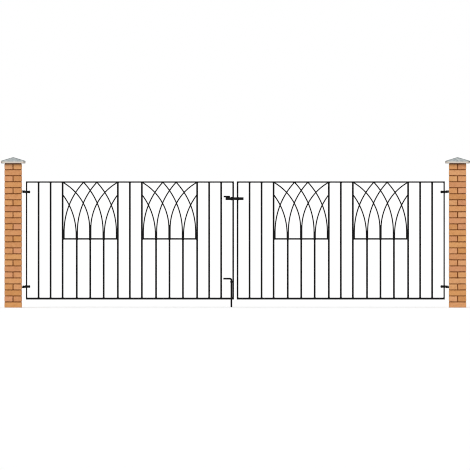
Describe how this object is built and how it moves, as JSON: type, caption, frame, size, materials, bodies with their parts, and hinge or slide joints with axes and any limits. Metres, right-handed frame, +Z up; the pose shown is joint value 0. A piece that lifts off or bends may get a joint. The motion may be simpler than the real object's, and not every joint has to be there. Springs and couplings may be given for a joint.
{
  "type": "double driveway gate with brick piers",
  "caption": "Pair of black iron driveway gate leaves with interlaced pointed-arch panels, hung between square brick piers with stone pyramid caps.",
  "frame": {"origin": "centre of the left pier's base, at ground level, seen from the street", "axes": "+X along the closed gate towards the right pier, +Y into the drive, +Z up"},
  "size_m": [5.855, 0.305, 1.878],
  "materials": {
    "brickwork": "facing brick in mortar",
    "cap_stone": "cast stone, weathered",
    "black_steel": "satin black paint",
    "black_ironmongery": "black japanned iron"
  },
  "bodies": {
    "posts": {"left_lower_hinge_hook": "black_ironmongery", "left_pier": "brickwork", "left_pier_cap": "cap_stone", "left_upper_hinge_hook": "black_ironmongery", "right_lower_hinge_hook": "black_ironmongery", "right_pier": "brickwork", "right_pier_cap": "cap_stone", "right_upper_hinge_hook": "black_ironmongery"},
    "left_leaf": {"drop_bolt_guides": "black_ironmongery", "latch_guide": "black_ironmongery", "left_bottom_rail": "black_steel", "left_closing_side_bars": "black_steel", "left_closing_stile": "black_steel", "left_hinge_side_bars": "black_steel", "left_hinge_stile": "black_steel", "left_inner_short_bars": "black_steel", "left_inner_tracery": "black_steel", "left_lower_eye_bolt": "black_ironmongery", "left_lower_hinge_nuts": "black_ironmongery", "left_middle_bars": "black_steel", "left_outer_short_bars": "black_steel", "left_outer_tracery": "black_steel", "left_panel_rails": "black_steel", "left_top_rail": "black_steel", "left_upper_eye_bolt": "black_ironmongery", "left_upper_hinge_nuts": "black_ironmongery"},
    "right_leaf": {"latch_keeper": "black_ironmongery", "right_bottom_rail": "black_steel", "right_closing_side_bars": "black_steel", "right_closing_stile": "black_steel", "right_hinge_side_bars": "black_steel", "right_hinge_stile": "black_steel", "right_inner_short_bars": "black_steel", "right_inner_tracery": "black_steel", "right_lower_eye_bolt": "black_ironmongery", "right_lower_hinge_nuts": "black_ironmongery", "right_middle_bars": "black_steel", "right_outer_short_bars": "black_steel", "right_outer_tracery": "black_steel", "right_panel_rails": "black_steel", "right_top_rail": "black_steel", "right_upper_eye_bolt": "black_ironmongery", "right_upper_hinge_nuts": "black_ironmongery"},
    "sliding_latch": {"latch_bolt": "black_ironmongery"},
    "drop_rod": {"drop_bolt": "black_ironmongery"}
  },
  "joints": [
    {"name": "left_leaf_hinge", "type": "hinge", "parent": "posts", "child": "left_leaf", "pos_m": [0.1335, 0, 0.258], "axis": [0, 0, 1], "range_deg": [0, 90]},
    {"name": "right_leaf_hinge", "type": "hinge", "parent": "posts", "child": "right_leaf", "pos_m": [5.4165, 0, 0.258], "axis": [0, 0, -1], "range_deg": [0, 90]},
    {"name": "latch_slide", "type": "slide", "parent": "left_leaf", "child": "sliding_latch", "axis": [-1, 0, 0], "range_m": [0, 0.1]},
    {"name": "drop_bolt_lift", "type": "slide", "parent": "left_leaf", "child": "drop_rod", "axis": [0, 0, 1], "range_m": [0, 0.09]}
  ]
}
